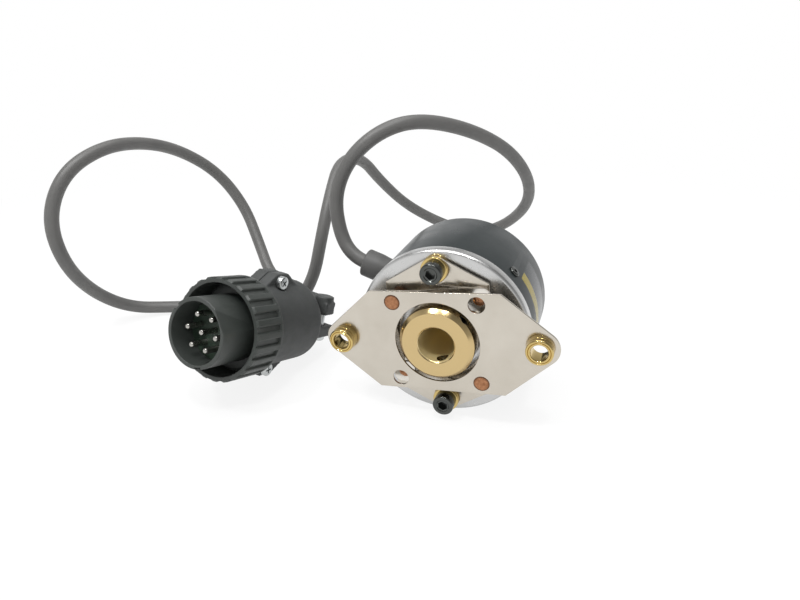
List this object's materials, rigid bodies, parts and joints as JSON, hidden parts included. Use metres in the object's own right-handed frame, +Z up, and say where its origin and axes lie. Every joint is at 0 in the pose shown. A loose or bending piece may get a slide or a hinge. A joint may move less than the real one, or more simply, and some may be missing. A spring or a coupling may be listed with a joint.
{
  "type": "hollow shaft rotary encoder",
  "caption": "Rotary encoder with a blind hollow brass shaft, a riveted spring-plate stator coupling with two ears, a round dark housing and a free cable that ends in a round ribbed plug.",
  "frame": {"origin": "on the shaft's axis, 3 mm behind the flange's front face", "axes": "-Y along the shaft out of its mouth, +Z up from the table that the encoder and its plug lie on, +X to the right seen from the front"},
  "size_m": [0.1984, 0.1791, 0.0918],
  "materials": {
    "bright_aluminium": "turned, satin",
    "dark_cover": "satin black",
    "zinc_steel": "zinc plated",
    "black_rubber": "matte",
    "brass": "turned",
    "black_oxide": "black oxide",
    "bearing_steel": "ground",
    "spring_steel": "plain",
    "plated_plate": "nickel plated",
    "copper": "plain",
    "disc_glass": "clear",
    "board": "glass fibre board",
    "black_chip": "moulded",
    "white_nylon": "moulded",
    "cable_grey": "PVC sheath",
    "plug_black": "moulded",
    "insert_green": "moulded",
    "pin_silver": "silver plated"
  },
  "bodies": {
    "encoder": {"front_flange": "bright_aluminium", "light_block": "bright_aluminium", "housing_cover": "dark_cover", "shell_screws": "zinc_steel", "clamp_screws": "zinc_steel", "board_screws": "zinc_steel", "board_posts": "zinc_steel", "cable_boot": "black_rubber", "cover_o_ring": "black_rubber", "shaft_seal": "black_rubber", "rear_bushings": "brass", "cap_screws": "black_oxide", "cover_screws": "black_oxide", "front_bearing_outer_ring": "bearing_steel", "rear_bearing_outer_ring": "bearing_steel", "outer_spacer": "spring_steel", "bearing_circlip": "spring_steel", "flex_plate": "spring_steel", "rear_plate": "plated_plate", "rear_rivets": "copper", "sensor_board": "board", "light_sensor": "black_chip", "board_connector": "white_nylon", "cable": "cable_grey", "inner_leads": "cable_grey", "plug_barrel": "plug_black", "left_shell": "plug_black", "right_shell": "plug_black", "clamp_saddle": "plug_black", "pin_insert": "insert_green", "contact_pins": "pin_silver"},
    "rotor": {"hollow_shaft": "brass", "set_screws": "black_oxide", "front_bearing_inner_ring": "bearing_steel", "rear_bearing_inner_ring": "bearing_steel", "inner_spacer": "spring_steel", "disc_hub": "bright_aluminium", "code_disc": "disc_glass", "disc_nut": "zinc_steel"},
    "ball_train": {"front_bearing_balls": "bearing_steel", "front_bearing_cage": "spring_steel", "rear_bearing_balls": "bearing_steel", "rear_bearing_cage": "spring_steel"},
    "coupling_front": {"front_plate": "plated_plate", "front_rivets": "copper", "front_bushings": "brass"},
    "plug_ring": {"coupling_ring": "plug_black"}
  },
  "joints": [
    {"name": "shaft_spin", "type": "hinge", "parent": "encoder", "child": "rotor", "pos_m": [0, 0, 0], "axis": [0, -1, 0], "continuous": true},
    {"name": "ball_orbit", "type": "hinge", "parent": "encoder", "child": "ball_train", "pos_m": [0, 0, 0], "axis": [0, -1, 0], "continuous": true},
    {"name": "ear_float", "type": "slide", "parent": "encoder", "child": "coupling_front", "axis": [0, -1, 0], "range_m": [-0.0004, 0.0004], "stiffness_N_per_m": 1500, "deforming": ["flex_plate"]},
    {"name": "ring_spin", "type": "hinge", "parent": "encoder", "child": "plug_ring", "pos_m": [-0.0745, -0.0323, 0.002], "axis": [-0.1422, -0.9404, 0.309], "continuous": true}
  ],
  "couplings": [
    {"joint": "ball_orbit", "follows": "shaft_spin", "ratio": 0.4395}
  ]
}
